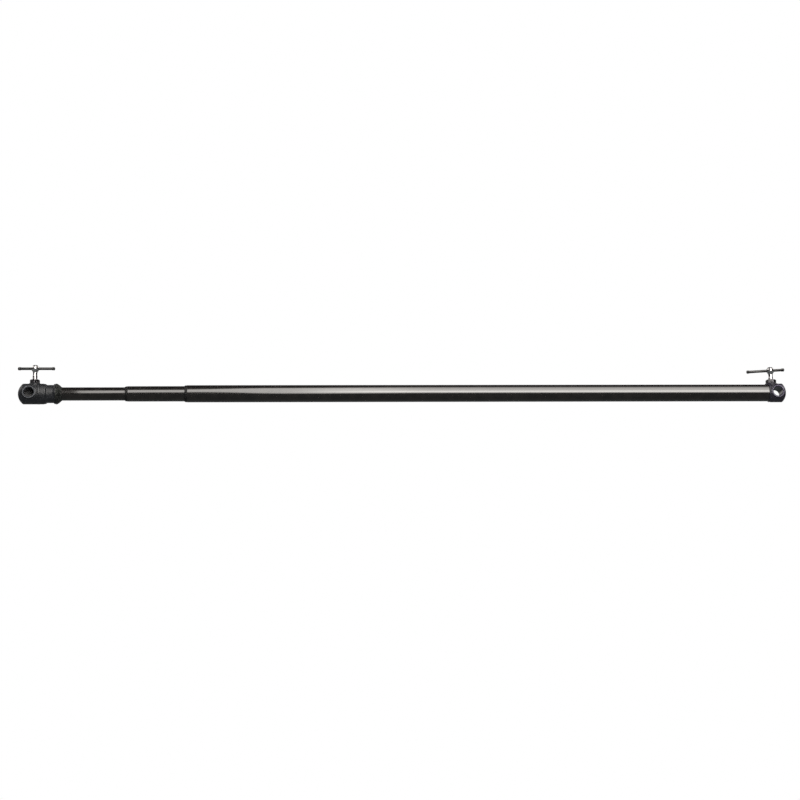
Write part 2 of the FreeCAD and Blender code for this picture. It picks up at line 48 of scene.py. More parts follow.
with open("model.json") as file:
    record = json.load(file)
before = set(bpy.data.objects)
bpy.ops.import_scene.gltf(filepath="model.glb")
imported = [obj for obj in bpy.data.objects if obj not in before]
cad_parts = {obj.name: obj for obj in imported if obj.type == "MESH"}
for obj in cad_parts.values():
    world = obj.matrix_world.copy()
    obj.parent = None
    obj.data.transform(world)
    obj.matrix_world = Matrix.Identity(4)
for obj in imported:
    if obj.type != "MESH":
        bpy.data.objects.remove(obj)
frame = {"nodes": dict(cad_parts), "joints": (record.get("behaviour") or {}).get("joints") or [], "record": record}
cad_low, cad_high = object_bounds()

MM = 0.001
FULL_TURN = 2 * math.pi
SHARP_ANGLE = math.radians(32)
# closer to the axis than this, a turned outline starts or ends on it
ON_AXIS = 0.0001 * MM
# points closer than this are merged after a cut
MERGE_DISTANCE = 0.001 * MM
# how far a cutting shape runs past the surface that it cuts
CUT_MARGIN = 4 * MM


# ---------------------------------------------------------------- places from the frame


def middle_of(node):
    low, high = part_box(node)
    return (low + high) / 2


def reach_of(node, centre, axis):
    """How far a node reaches from centre along axis."""
    return max((vertex.co - centre).dot(axis) for vertex in frame["nodes"][node].data.vertices)


def radius_of(node):
    low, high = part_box(node)
    return (high.y - low.y) / 2


def joint_named(name):
    return next(joint for joint in frame["joints"] if joint["name"] == name)


def bore_of(mount_name):
    """A rail bore's centre along X, its lowest and highest Y, and its radius."""
    mount = next(item for item in frame["record"]["mounts"] if item["name"] == mount_name)
    x, y, _ = mount["pos_m"]
    half = mount["dims"]["length_mm"] * MM / 2
    return x, y - half, y + half, mount["dims"]["r_mm"] * MM


# ---------------------------------------------------------------- mesh building


def new_piece(name, mesh, material):
    piece = bpy.data.objects.new(name, mesh)
    bpy.context.scene.collection.objects.link(piece)
    piece.data.materials.clear()
    piece.data.materials.append(material)
    return piece


def shade(bm):
    """Smooths the faces, except across the edges that turn by more than the sharp angle."""
    for face in bm.faces:
        face.smooth = True
    for edge in bm.edges:
        edge.smooth = len(edge.link_faces) == 2 and edge.calc_face_angle() < SHARP_ANGLE


def mesh_from(bm, name):
    bmesh.ops.recalc_face_normals(bm, faces=bm.faces)
    shade(bm)
    mesh = bpy.data.meshes.new(name)
    bm.to_mesh(mesh)
    bm.free()
    return mesh


# how much of a short side the curve at a corner may take
SIDE_SHARE = 0.45


def rounded(corners, size, steps=4, closed=True):
    """The outline with each corner turned into a short curve that starts size before it, or
    nearly half a side before it where the side is short."""
    count = len(corners)
    points = []
    for number, corner in enumerate(corners):
        here = Vector(corner)
        if not closed and number in (0, count - 1):
            points.append(here)
            continue
        before = Vector(corners[number - 1]) - here
        after = Vector(corners[(number + 1) % count]) - here
        start = here + before.normalized() * min(size, before.length * SIDE_SHARE)
        end = here + after.normalized() * min(size, after.length * SIDE_SHARE)
        for step in range(steps + 1):
            part = step / steps
            rest = 1 - part
            points.append(start * rest ** 2 + here * 2 * part * rest + end * part ** 2)
    return points


def add_lathe(bm, outline, place=Matrix.Identity(4), segments=96, relief=None, closed=True):
    """Turns an outline of (along, radius) about the local X axis. relief(along, angle, radius)
    gives how much to take off the radius. An open outline starts and ends on the axis."""
    rings = []
    for along, radius in outline:
        if radius < ON_AXIS:
            rings.append([bm.verts.new(place @ Vector((along, 0, 0)))])
            continue
        ring = []
        for step in range(segments):
            angle = FULL_TURN * step / segments
            cut = relief(along, angle, radius) if relief else 0.0
            reach = radius - cut
            local = Vector((along, reach * math.cos(angle), reach * math.sin(angle)))
            ring.append(bm.verts.new(place @ local))
        rings.append(ring)
    pairs = list(zip(rings, rings[1:]))
    if closed:
        pairs.append((rings[-1], rings[0]))
    for first, second in pairs:
        for step in range(segments):
            after = (step + 1) % segments
            if len(first) == 1:
                corners = (first[0], second[step], second[after])
            elif len(second) == 1:
                corners = (first[step], second[0], first[after])
            else:
                corners = (first[step], second[step], second[after], first[after])
            bm.faces.new(corners)


def lathe(name, outline, material, place=Matrix.Identity(4), **options):
    bm = bmesh.new()
    add_lathe(bm, outline, place, **options)
    return new_piece(name, mesh_from(bm, name), material)


UPRIGHT = Matrix.Rotation(-math.pi / 2, 4, "Y")
ACROSS = Matrix.Rotation(math.pi / 2, 4, "Z")


def apply_modifiers(piece):
    """Replaces the piece's mesh with its evaluated one."""
    bpy.context.view_layer.update()
    evaluated = piece.evaluated_get(bpy.context.evaluated_depsgraph_get())
    mesh = bpy.data.meshes.new_from_object(evaluated)
    piece.modifiers.clear()
    piece.data = mesh


def cut_away(piece, cutter):
    """Takes the cutter's volume off the piece and removes the cutter. The cut faces keep the
    cutter's material."""
    modifier = piece.modifiers.new("cut", "BOOLEAN")
    modifier.operation = "DIFFERENCE"
    modifier.solver = "MANIFOLD"
    modifier.material_mode = "TRANSFER"
    modifier.object = cutter
    apply_modifiers(piece)
    bpy.data.objects.remove(cutter)


def clean_cut(piece):
    """Merges the slivers that a cut leaves and shades the piece again."""
    bm = bmesh.new()
    bm.from_mesh(piece.data)
    bmesh.ops.remove_doubles(bm, verts=bm.verts, dist=MERGE_DISTANCE)
    bmesh.ops.dissolve_degenerate(bm, edges=bm.edges, dist=MERGE_DISTANCE)
    shade(bm)
    bm.to_mesh(piece.data)
    bm.free()


def finish_piece(piece, body, slot, *nodes):
    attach(piece, body)
    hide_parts(*nodes)


# ---------------------------------------------------------------- materials


class Nodes:
    """Short calls for adding and wiring the nodes of one tree."""

    def __init__(self, tree):
        self.tree = tree
        tree.nodes.clear()

    def add(self, kind, sockets=None, **settings):
        node = self.tree.nodes.new(kind)
        for name, value in settings.items():
            setattr(node, name, value)
        for name, value in (sockets or {}).items():
            if isinstance(value, bpy.types.NodeSocket):
                self.tree.links.new(value, node.inputs[name])
            else:
                node.inputs[name].default_value = value
        return node

    def math(self, operation, first, second=0.0):
        return self.add("ShaderNodeMath", {0: first, 1: second}, operation=operation).outputs[0]

    def chain(self, operation, *values):
        """All the values added or multiplied together."""
        result = values[0]
        for value in values[1:]:
            result = self.math(operation, result, value)
        return result

    def between(self, value, low, high, to_low=0.0, to_high=1.0):
        """The value moved smoothly from the range low-high to to_low-to_high."""
        node = self.add("ShaderNodeMapRange", {
            "Value": value, "From Min": low, "From Max": high, "To Min": to_low, "To Max": to_high,
        }, interpolation_type="SMOOTHSTEP")
        return node.outputs["Result"]

    def noise(self, place, scale, detail=4.0, roughness=0.55):
        node = self.add("ShaderNodeTexNoise", {
            "Vector": place, "Scale": scale, "Detail": detail, "Roughness": roughness,
        })
        return node.outputs["Fac"]

    def mix(self, factor, first, second):
        node = self.add("ShaderNodeMix", {0: factor, 6: first, 7: second}, data_type="RGBA")
        return node.outputs[2]


def colour(red, green, blue):
    return (red, green, blue, 1.0)


# waves a metre of the colour patches and of the smudges that vary the gloss
PATCH_WAVES = 55.0
SMUDGE_WAVES = 140.0
# long fine lines along the bar
SCRATCH_WAVES = (9.0, 700.0, 700.0)
GRAIN_SHARE = 0.4
WORN_METALLIC = 0.9


def finish(name, dark, light, roughness, grain, depth, stretch=(1, 1, 1), metallic=0.0,
           wear=None, coat=0.0, coat_roughness=0.05, specular=0.5, scratches=0.0):
    """A procedural material. dark and light are the two colours that its patches mix,
    roughness a (low, high) pair, grain the surface grain's waves a metre, depth its height,
    stretch the grain's waves along each axis, wear the colour of the metal that bare edges
    show, and scratches how much rougher its fine lines are."""
    material = bpy.data.materials.new(name)
    material.use_nodes = True
    nodes = Nodes(material.node_tree)
    place = nodes.add("ShaderNodeTexCoord").outputs["Object"]
    grained = nodes.add("ShaderNodeMapping", {"Vector": place, "Scale": stretch}).outputs[0]
    patches = nodes.noise(place, PATCH_WAVES, detail=5.0)
    fine = nodes.noise(grained, grain, detail=6.0, roughness=0.6)
    smudges = nodes.noise(place, SMUDGE_WAVES, detail=3.0)
    base = nodes.mix(nodes.between(patches, 0.35, 0.68), dark, light)
    uneven = nodes.math("ADD", smudges, nodes.math("MULTIPLY", fine, GRAIN_SHARE))
    rough = nodes.between(uneven, 0.45, 0.95, *roughness)
    if scratches:
        lines = nodes.add("ShaderNodeMapping", {"Vector": place, "Scale": SCRATCH_WAVES})
        streaks = nodes.between(nodes.noise(lines.outputs[0], 1.0, detail=2.0), 0.64, 0.7)
        rough = nodes.math("ADD", rough, nodes.math("MULTIPLY", streaks, scratches))
    metal = metallic
    if wear:
        edges = nodes.between(nodes.add("ShaderNodeNewGeometry").outputs["Pointiness"], 0.53, 0.6)
        worn = nodes.math("MULTIPLY", edges, nodes.between(smudges, 0.42, 0.62))
        base = nodes.mix(worn, base, wear)
        metal = nodes.between(worn, 0.0, 1.0, metallic, WORN_METALLIC)
    bump = nodes.add("ShaderNodeBump", {"Strength": 0.6, "Distance": depth, "Height": fine})
    shader = nodes.add("ShaderNodeBsdfPrincipled", {
        "Base Color": base, "Roughness": rough, "Metallic": metal, "Normal": bump.outputs[0],
        "Coat Weight": coat, "Coat Roughness": coat_roughness, "Specular IOR Level": specular,
    })
    nodes.add("ShaderNodeOutputMaterial", {"Surface": shader.outputs[0]})
    return material


BARE_STEEL = colour(0.42, 0.41, 0.4)
ENAMEL = finish(
    "gloss_black_enamel", colour(0.0045, 0.0038, 0.0035), colour(0.0085, 0.0072, 0.0064),
    (0.14, 0.24), 420.0, 0.006 * MM, stretch=(0.5, 1, 1), coat=1.0, coat_roughness=0.03,
    specular=0.12, scratches=0.1,
)
CASTING = finish(
    "satin_grey_casting", colour(0.008, 0.0088, 0.0108), colour(0.0125, 0.0135, 0.0162),
    (0.36, 0.46), 900.0, 0.018 * MM, specular=0.34,
)
# the right head's copy of the casting, lighter than the left head's: painted light where the softbox falls on the
# bar's right half
LIT_VIOLET_CASTING = finish(
    "satin_violet_casting_painted_light", colour(0.0115, 0.0098, 0.0165), colour(0.0185, 0.016, 0.026),
    (0.34, 0.44), 900.0, 0.018 * MM, specular=0.36,
)
BORED = finish(
    "bored_wall", colour(0.006, 0.006, 0.0075), colour(0.012, 0.012, 0.0145),
    (0.2, 0.32), 60.0, 0.02 * MM, stretch=(1, 30, 1), metallic=0.3,
)
# the right bore's copy of the wall, lighter than the left bore's: painted light where the softbox falls on the
# bar's right half
LIT_VIOLET_BORED = finish(
    "violet_bored_wall_painted_light", colour(0.012, 0.0095, 0.021), colour(0.024, 0.019, 0.04),
    (0.2, 0.32), 60.0, 0.02 * MM, stretch=(1, 30, 1), metallic=0.3,
)
# the machined ring round each bore mouth, lighter than the casting as a painted highlight where its chamfer
# catches the light
MACHINED_FACE_HIGHLIGHT = finish(
    "machined_face_painted_highlight", colour(0.026, 0.028, 0.032), colour(0.05, 0.053, 0.06),
    (0.34, 0.46), 240.0, 0.01 * MM, metallic=0.3, specular=0.35,
)
VIOLET_MACHINED_FACE_HIGHLIGHT = finish(
    "violet_machined_face_painted_highlight", colour(0.028, 0.0235, 0.042), colour(0.05, 0.043, 0.07),
    (0.32, 0.44), 240.0, 0.01 * MM, metallic=0.3, specular=0.35,
)
NYLON = finish(
    "black_nylon", colour(0.004, 0.004, 0.004), colour(0.008, 0.008, 0.0085),
    (0.42, 0.56), 1100.0, 0.03 * MM, specular=0.22,
)
RUBBER = finish(
    "black_moulded_rubber", colour(0.0062, 0.0072, 0.0062), colour(0.0125, 0.0138, 0.0115),
    (0.42, 0.58), 520.0, 0.05 * MM, specular=0.36,
)
CHROME = finish(
    "polished_plating", colour(0.6, 0.59, 0.6), colour(0.72, 0.71, 0.71),
    (0.05, 0.12), 260.0, 0.01 * MM, stretch=(1, 1, 8), metallic=1.0,
)
PLATED = finish(
    "dull_plated_steel", colour(0.1, 0.096, 0.104), colour(0.19, 0.184, 0.194),
    (0.24, 0.38), 420.0, 0.03 * MM, stretch=(1, 1, 5), metallic=1.0,
)
BLACKENED = finish(
    "blackened_steel", colour(0.008, 0.008, 0.008), colour(0.018, 0.0175, 0.017),
    (0.25, 0.4), 500.0, 0.03 * MM, stretch=(8, 1, 1), metallic=0.3, wear=BARE_STEEL,
)
BRASS = finish(
    "turned_brass", colour(0.42, 0.28, 0.1), colour(0.6, 0.43, 0.17),
    (0.22, 0.38), 300.0, 0.03 * MM, stretch=(1, 1, 12), metallic=1.0,
)
SPRING_STEEL = finish(
    "spring_steel", colour(0.2, 0.2, 0.21), colour(0.33, 0.33, 0.34),
    (0.25, 0.42), 350.0, 0.02 * MM, stretch=(1, 1, 6), metallic=1.0,
)


# ---------------------------------------------------------------- tubes and their liners


def pin_cutter(x, radius):
    """The upright spring pin's hole, right through a tube of that radius."""
    reach = radius + CUT_MARGIN
    place = Matrix.Translation((x, 0, 0)) @ UPRIGHT
    pin_radius = radius_of("right_head_pin")
    corners = [(-reach, 0), (-reach, pin_radius), (reach, pin_radius), (reach, 0)]
    return lathe("pin_cutter", corners, SPRING_STEEL, place, segments=32, closed=False)


TUBE_WALL = 1.2 * MM
TUBE_EDGE = 0.42 * MM
# the mesh's runs along a tube, and the length of the two short ones at each end, which keep
# its shading clean
TUBE_RUNS = 24
END_LOOP = 1.5 * MM


def make_tube(name, node, body, pin_node=None):
    """A drawn steel tube with rolled ends, and a cross hole where a pin goes through."""
    low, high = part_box(node)
    outer = radius_of(node)
    inner = outer - TUBE_WALL
    length = high.x - low.x
    stations = [0.0, END_LOOP, 2 * END_LOOP]
    stations += [length * step / TUBE_RUNS for step in range(1, TUBE_RUNS)]
    stations += [length - 2 * END_LOOP, length - END_LOOP, length]
    outside = [(low.x + station, outer) for station in stations]
    inside = [(along, inner) for along, _ in reversed(outside)]
    left_out = rounded([inside[-1], outside[0], outside[1]], TUBE_EDGE, closed=False)[1:-1]
    right_out = rounded([outside[-2], outside[-1], inside[0]], TUBE_EDGE, closed=False)[1:-1]
    right_in = rounded([outside[-1], inside[0], inside[1]], TUBE_EDGE, closed=False)[1:-1]
    left_in = rounded([inside[-2], inside[-1], outside[0]], TUBE_EDGE, closed=False)[1:-1]
    outline = left_out + outside[1:-1] + right_out + right_in + inside[1:-1] + left_in
    piece = lathe(name, outline, ENAMEL, segments=144)
    if pin_node:
        cut_away(piece, pin_cutter(middle_of(pin_node).x, outer))
        clean_cut(piece)
    finish_piece(piece, body, "tube_black", node)


RUNNING_GAP = 0.1 * MM
SEAT_GAP = 0.05 * MM
NOSE_ROUNDING = 0.7 * MM


def make_liner(name, node, body, tube_node, hole_node):
    """The nylon liner: a round nose outside the tube's mouth and a sleeve inside it."""
    low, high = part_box(node)
    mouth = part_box(tube_node)[0].x
    nose = mouth - low.x
    flange = radius_of(node)
    hole = radius_of(hole_node) + RUNNING_GAP
    sleeve = radius_of(tube_node) - TUBE_WALL - SEAT_GAP
    corners = [
        (low.x, hole), (high.x, hole), (high.x, sleeve), (mouth, sleeve), (mouth, flange),
        (mouth - nose * 0.45, flange), (low.x, hole + 0.9 * MM),
    ]
    piece = lathe(name, rounded(corners, NOSE_ROUNDING), NYLON, segments=128)
    finish_piece(piece, body, "nylon", node)


make_tube("outer_steel_tube", "outer_tube", "outer", "right_head_pin")
make_tube("middle_steel_tube", "middle_tube", "middle")
make_tube("inner_steel_tube", "inner_tube", "inner", "left_head_pin")
make_liner("outer_liner_sleeve", "outer_mouth_liner", "outer", "outer_tube", "middle_tube")
make_liner("middle_liner_sleeve", "middle_mouth_liner", "middle", "middle_tube", "inner_tube")


# ---------------------------------------------------------------- clamp heads


VOXEL = 0.5 * MM
SMOOTHINGS = 9
SKIN_WAVES = 300.0
SKIN_DEPTH = 0.05 * MM
# the chamfer between a mount's end and the drum's face in the CAD
BORE_CHAMFER = 1.2 * MM
# how much wider than the CAD's the rail bores are cut, which takes their cast wall off
BORING_CUT = 0.15 * MM
# the flat that a spot-facing tool leaves round each mouth, and the chamfer inside it
SPOT_RADIUS = 12.9 * MM
SPOT_DEPTH = 0.35 * MM
SPOT_CHAMFER = 1.4 * MM


def cast_shape(name, node, material):
    """The head as it leaves the die: filleted edges and a slightly uneven skin."""
    piece = new_piece(name, frame["nodes"][node].data.copy(), material)
    remesh = piece.modifiers.new("remesh", "REMESH")
    remesh.mode = "VOXEL"
    remesh.voxel_size = VOXEL
    smooth = piece.modifiers.new("smooth", "SMOOTH")
    smooth.factor = 0.5
    smooth.iterations = SMOOTHINGS
    apply_modifiers(piece)
    normals = [vertex.normal.copy() for vertex in piece.data.vertices]
    for vertex, normal in zip(piece.data.vertices, normals):
        skin = noise.fractal(vertex.co * SKIN_WAVES, 1.0, 2.0, 2)
        vertex.co -= normal * SKIN_DEPTH * (0.5 + 0.5 * skin)
    return piece


def bore_cutter(x, radius, floor, face, wall_material, face_highlight_material):
    """The rail bore's volume from floor to face along Y, with a chamfered mouth, and the thin
    layer that a spot-facing tool takes off the drum's end round it. The chamfer and that face
    take the face material, lighter than the casting as a painted highlight where the ring catches the light."""
    sign = 1 if face > floor else -1
    mouth = face - sign * SPOT_DEPTH
    chamfer_start = mouth - sign * SPOT_CHAMFER
    above = face + sign * CUT_MARGIN
    bored = radius + BORING_CUT
    corners = [
        (floor, 0), (floor, bored), (chamfer_start, bored), (mouth, bored + SPOT_CHAMFER),
        (mouth, SPOT_RADIUS), (above, SPOT_RADIUS), (above, 0),
    ]
    place = Matrix.Translation((x, 0, 0)) @ ACROSS
    cutter = lathe("bore_cutter", corners, wall_material, place, segments=96, closed=False)
    cutter.data.materials.append(face_highlight_material)
    # the chamfer and the spot face take the lighter face material: a painted highlight on the machined ring
    for polygon in cutter.data.polygons:
        painted_highlight_ring = abs(polygon.center.y) > abs(chamfer_start)
        polygon.material_index = 1 if painted_highlight_ring else 0
    return cutter


def make_head(name, node, body, mount_name, through, materials):
    """A casting with its rail bore cut from the front, and from the back too if through."""
    skin, wall_material, face_highlight_material = materials
    x, low_y, high_y, radius = bore_of(mount_name)
    front = low_y - BORE_CHAMFER
    back = high_y + BORE_CHAMFER
    cuts = [(0.0, front), (0.0, back)] if through else [(high_y, front)]
    piece = cast_shape(name, node, skin)
    for floor, face in cuts:
        cut_away(piece, bore_cutter(x, radius, floor, face, wall_material, face_highlight_material))
    clean_cut(piece)
    finish_piece(piece, body, "cast_head", node)


# the right head takes the lighter copies of the finishes: painted light where the softbox falls on the bar's right
# half
make_head("right_casting", "right_clamp_head", "outer", "right_rail_bore", True,
          (LIT_VIOLET_CASTING, LIT_VIOLET_BORED, VIOLET_MACHINED_FACE_HIGHLIGHT))
make_head("left_casting", "left_clamp_head", "inner", "left_rail_socket", False,
          (CASTING, BORED, MACHINED_FACE_HIGHLIGHT))


# ---------------------------------------------------------------- collar


FLUTES = 14
FLUTE_DEPTH = 1.5 * MM
COLLAR_ROUNDING = 1.4 * MM
COLLAR_STEP = 0.5 * MM


def make_collar():
    """The domed moulding at the left head, fluted on its slope."""
    low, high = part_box("left_tube_collar")
    start = low.x
    end = high.x
    peak = radius_of("left_tube_collar")
    hole = radius_of("inner_tube") + SEAT_GAP
    slope_start = start + 2.6 * MM
    slope_end = end - 2.4 * MM

    def flute(along, angle, radius):
        if radius < hole + 0.5 * MM or not slope_start < along < slope_end:
            return 0.0
        share = (along - slope_start) / (slope_end - slope_start)
        valley = max(0.0, math.cos(FLUTES * angle)) ** 1.5
        return FLUTE_DEPTH * valley * math.sin(math.pi * share) ** 0.6

    corners = [
        (start, hole), (start, peak - 0.6 * MM), (start + 1.2 * MM, peak - 0.1 * MM),
        (start + 2.4 * MM, peak - 0.02 * MM), (start + 4.8 * MM, peak - 1.2 * MM),
        (start + 8.4 * MM, peak - 3.6 * MM), (end - 1.2 * MM, hole + 0.85 * MM),
        (end, hole + 0.7 * MM), (end, hole),
    ]
    curve = rounded(corners, COLLAR_ROUNDING, steps=6)
    fine = []
    for first, second in zip(curve, curve[1:] + curve[:1]):
        pieces = max(1, int((second - first).length / COLLAR_STEP))
        fine += [first.lerp(second, step / pieces) for step in range(pieces)]
    piece = lathe("domed_collar", fine, RUBBER, segments=168, relief=flute)
    finish_piece(piece, "inner", "collar_rubber", "left_tube_collar")


make_collar()


# ---------------------------------------------------------------- clamp screws


# A screw's heights are measured from its hub's centre.
HUB_RADIUS = 8.0 * MM
HUB_TOP = 7.0 * MM
# the ball's arc, as angles above and below its equator
HUB_START = math.radians(58)
HUB_END = math.radians(-48)
HUB_STEPS = 26
# the cross hole's radius, its flare's length and where the flare meets the ball
CROSS_HOLE = 3.3 * MM
CROSS_HOLE_FLARE = 1.0 * MM
CROSS_HOLE_RIM = 7.1 * MM
THREAD_TOP = -16.5 * MM
THREAD_RADIUS = 4.95 * MM
THREAD_PITCH = 2.0 * MM
THREAD_DEPTH = 0.9 * MM
THREAD_RUN_OUT = 0.8 * MM
ROWS_A_PITCH = 10
# the journal's radius, the radius in its ring groove, and its length
JOURNAL = 3.0 * MM
JOURNAL_GROOVE = 2.4 * MM
JOURNAL_LENGTH = 4.8 * MM


def thread_profile(phase):
    """1 at the root of the thread and 0 at its crest, over one pitch."""
    crest, flank, root = 0.3, 0.2, 0.3
    if phase < crest:
        return 0.0
    if phase < crest + flank:
        return (phase - crest) / flank
    if phase < crest + flank + root:
        return 1.0
    return 1.0 - (phase - crest - flank - root) / (1.0 - crest - flank - root)


def make_screw(side, body):
    """The T-screw: a ball hub flattened on top, a waisted neck, a thread and a journal."""
    node = f"{side}_t_screw"
    low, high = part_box(node)
    centre = middle_of(node)
    centre.z = high.z - HUB_TOP
    foot = low.z - centre.z
    journal_top = foot + JOURNAL_LENGTH
    thread_end = journal_top + 0.4 * MM

    def thread(along, angle, radius):
        inside = min(along - thread_end, THREAD_TOP - along)
        if inside <= 0:
            return 0.0
        phase = (along / THREAD_PITCH - angle / FULL_TURN) % 1.0
        return THREAD_DEPTH * thread_profile(phase) * min(1.0, inside / THREAD_RUN_OUT)

    outline = [(HUB_TOP, 0), (HUB_TOP, 2.6 * MM), (HUB_TOP - 0.15 * MM, 3.5 * MM)]
    for step in range(HUB_STEPS + 1):
        angle = HUB_START + (HUB_END - HUB_START) * step / HUB_STEPS
        outline.append((HUB_RADIUS * math.sin(angle), HUB_RADIUS * math.cos(angle)))
    outline += [
        (-7.6 * MM, 4.75 * MM), (-9.0 * MM, 4.42 * MM), (-10.5 * MM, 4.32 * MM),
        (-12.5 * MM, 4.38 * MM), (-14.5 * MM, 4.62 * MM), (-16.0 * MM, 4.88 * MM),
    ]
    rows = int((THREAD_TOP - thread_end) / (THREAD_PITCH / ROWS_A_PITCH))
    for row in range(rows + 1):
        outline.append((THREAD_TOP + (thread_end - THREAD_TOP) * row / rows, THREAD_RADIUS))
    groove_top = journal_top - 1.6 * MM
    groove_end = journal_top - 3.2 * MM
    outline += [
        (journal_top, THREAD_RADIUS - 0.4 * MM), (journal_top, JOURNAL), (groove_top, JOURNAL),
        (groove_top, JOURNAL_GROOVE), (groove_end, JOURNAL_GROOVE), (groove_end, JOURNAL),
        (foot + 0.4 * MM, JOURNAL), (foot, JOURNAL - 0.4 * MM), (foot, 0),
    ]
    place = Matrix.Translation(centre) @ UPRIGHT
    piece = lathe(f"{side}_ball_screw", outline, CHROME, place, segments=72, relief=thread,
                  closed=False)
    reach = HUB_RADIUS + CUT_MARGIN
    mouth = CROSS_HOLE + CROSS_HOLE_FLARE * 0.4
    wide = CROSS_HOLE + CROSS_HOLE_FLARE + reach - CROSS_HOLE_RIM
    flare_start = CROSS_HOLE_RIM - CROSS_HOLE_FLARE
    corners = [
        (-reach, 0), (-reach, wide), (-CROSS_HOLE_RIM, mouth), (-flare_start, CROSS_HOLE),
        (flare_start, CROSS_HOLE), (CROSS_HOLE_RIM, mouth), (reach, wide), (reach, 0),
    ]
    cutter = lathe("hole_cutter", corners, CHROME, Matrix.Translation(centre), segments=64,
                   closed=False)
    cut_away(piece, cutter)
    clean_cut(piece)
    finish_piece(piece, body, "chrome", node)


# A bush's heights are measured from its seat on the head.
# the hexagon's radius to its flats and to its corners
BUSH_FLAT = 9.5 * MM
BUSH_CORNER = BUSH_FLAT / math.cos(math.pi / 6)
BUSH_HEIGHT = 8.0 * MM
# how far in from the corners the chamfered crown starts
BUSH_CROWN = 1.6 * MM
BUSH_CROWN_ROWS = 5
# the radii of the shank in the head, of the threaded bore, and of the shoe's bore below it
BUSH_SHANK = 7.0 * MM
BUSH_BORE = THREAD_RADIUS + 0.05 * MM
SHOE_BORE = 5.35 * MM


def make_bush(side, body, turn):
    """The hexagonal bush with a chamfered crown and a countersunk threaded hole."""
    node = f"{side}_hex_bush"
    low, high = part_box(node)
    centre = middle_of(node)
    seat = high.z - BUSH_HEIGHT
    bottom = low.z - seat

    def hexagon(along, angle, radius):
        if along < 0.01 * MM or radius < BUSH_SHANK + 1.2 * MM:
            return 0.0
        folded = (angle - turn) % (math.pi / 3) - math.pi / 6
        return max(0.0, radius - min(BUSH_FLAT / math.cos(folded), BUSH_CORNER * 0.99))

    crown = BUSH_CORNER - BUSH_CROWN
    slope = BUSH_CROWN * math.tan(math.pi / 6)
    outline = [
        (bottom, SHOE_BORE), (-0.6 * MM, SHOE_BORE), (-0.5 * MM, BUSH_BORE),
        (BUSH_HEIGHT - 1.0 * MM, BUSH_BORE), (BUSH_HEIGHT - 0.2 * MM, BUSH_BORE + 0.8 * MM),
        (BUSH_HEIGHT, BUSH_BORE + 1.0 * MM), (BUSH_HEIGHT, crown - 0.3 * MM),
        (BUSH_HEIGHT - 0.05 * MM, crown),
    ]
    for row in range(1, BUSH_CROWN_ROWS + 1):
        share = row / BUSH_CROWN_ROWS
        outline.append((BUSH_HEIGHT - slope * share, crown + BUSH_CROWN * share))
    outline += [
        (0.3 * MM, BUSH_CORNER), (0.02 * MM, BUSH_CORNER - 0.3 * MM), (0.0, BUSH_SHANK),
        (bottom + 0.4 * MM, BUSH_SHANK), (bottom, BUSH_SHANK - 0.4 * MM),
    ]
    place = Matrix.Translation((centre.x, 0, seat)) @ UPRIGHT
    piece = lathe(f"{side}_threaded_bush", outline, PLATED, place, segments=144, relief=hexagon)
    finish_piece(piece, body, "bush_steel", node)


# the radii of the rod and of the cap on its end
BAR_ROD = 2.75 * MM
BAR_CAP = 3.4 * MM
BAR_CAP_LENGTH = 6.0 * MM
# how far the cap's pressed groove lies from its tip, and how deep it is
GROOVE_PLACE = 3.9 * MM
GROOVE_DEPTH = 0.45 * MM
BAR_ROUNDING = 0.5 * MM


def make_bar(side, body):
    """The tommy bar and the pressed cap on each of its ends."""
    node = f"{side}_tommy_bar"
    caps_node = f"{side}_tommy_bar_caps"
    axis = Vector(joint_named(f"{side}_bar_slide")["axis"]).normalized()
    centre = middle_of(node)
    tilt = Vector((1, 0, 0)).rotation_difference(axis).to_matrix().to_4x4()
    place = Matrix.Translation(centre) @ tilt
    half = reach_of(node, centre, axis)
    tip = reach_of(caps_node, centre, axis)
    groove = tip - GROOVE_PLACE
    cap_end = tip - BAR_CAP_LENGTH
    corners = [(-half, 0), (-half, BAR_ROD), (half, BAR_ROD), (half, 0)]
    rod = rounded(corners, BAR_ROUNDING, closed=False)
    piece = lathe(f"{side}_handle_rod", rod, BLACKENED, place, segments=48, closed=False)
    finish_piece(piece, body, "black_steel", node)

    corners = [
        (tip, 0), (tip - 0.15 * MM, 1.4 * MM), (tip - 1.5 * MM, BAR_CAP),
        (groove + 0.7 * MM, BAR_CAP), (groove + 0.3 * MM, BAR_CAP - GROOVE_DEPTH),
        (groove - 0.3 * MM, BAR_CAP - GROOVE_DEPTH), (groove - 0.7 * MM, BAR_CAP),
        (cap_end, BAR_CAP), (cap_end, BAR_ROD), (half, BAR_ROD), (half, 0),
    ]
    cap = rounded(corners, BAR_ROUNDING, closed=False)
    bm = bmesh.new()
    for sign in (-1, 1):
        outline = [(sign * along, radius) for along, radius in cap]
        add_lathe(bm, outline, place, segments=56, closed=False)
    caps = new_piece(f"{side}_handle_caps", mesh_from(bm, f"{side}_handle_caps"), BLACKENED)
    finish_piece(caps, body, "black_steel", caps_node)


RIGHT_HEX_TURN = math.radians(15)
for side, head_body, hex_turn in (("left", "inner", 0.0), ("right", "outer", RIGHT_HEX_TURN)):
    make_screw(side, f"{side}_screw")
    make_bush(side, head_body, hex_turn)
    make_bar(side, f"{side}_bar")


# ---------------------------------------------------------------- pieces kept from the CAD


KEPT = {
    "middle_tail_glide": NYLON,
    "inner_tail_glide": NYLON,
    "right_head_pin": SPRING_STEEL,
    "left_head_pin": SPRING_STEEL,
    "right_clamp_shoe": BRASS,
    "left_clamp_shoe": BRASS,
    "right_shoe_ring": SPRING_STEEL,
    "left_shoe_ring": SPRING_STEEL,
}
for node, material in KEPT.items():
    for slot in frame["nodes"][node].material_slots:
        slot.material = material


# ---------------------------------------------------------------- floor, light and camera


FLOOR_Z = -1.05
FLOOR_RADIUS = 60.0


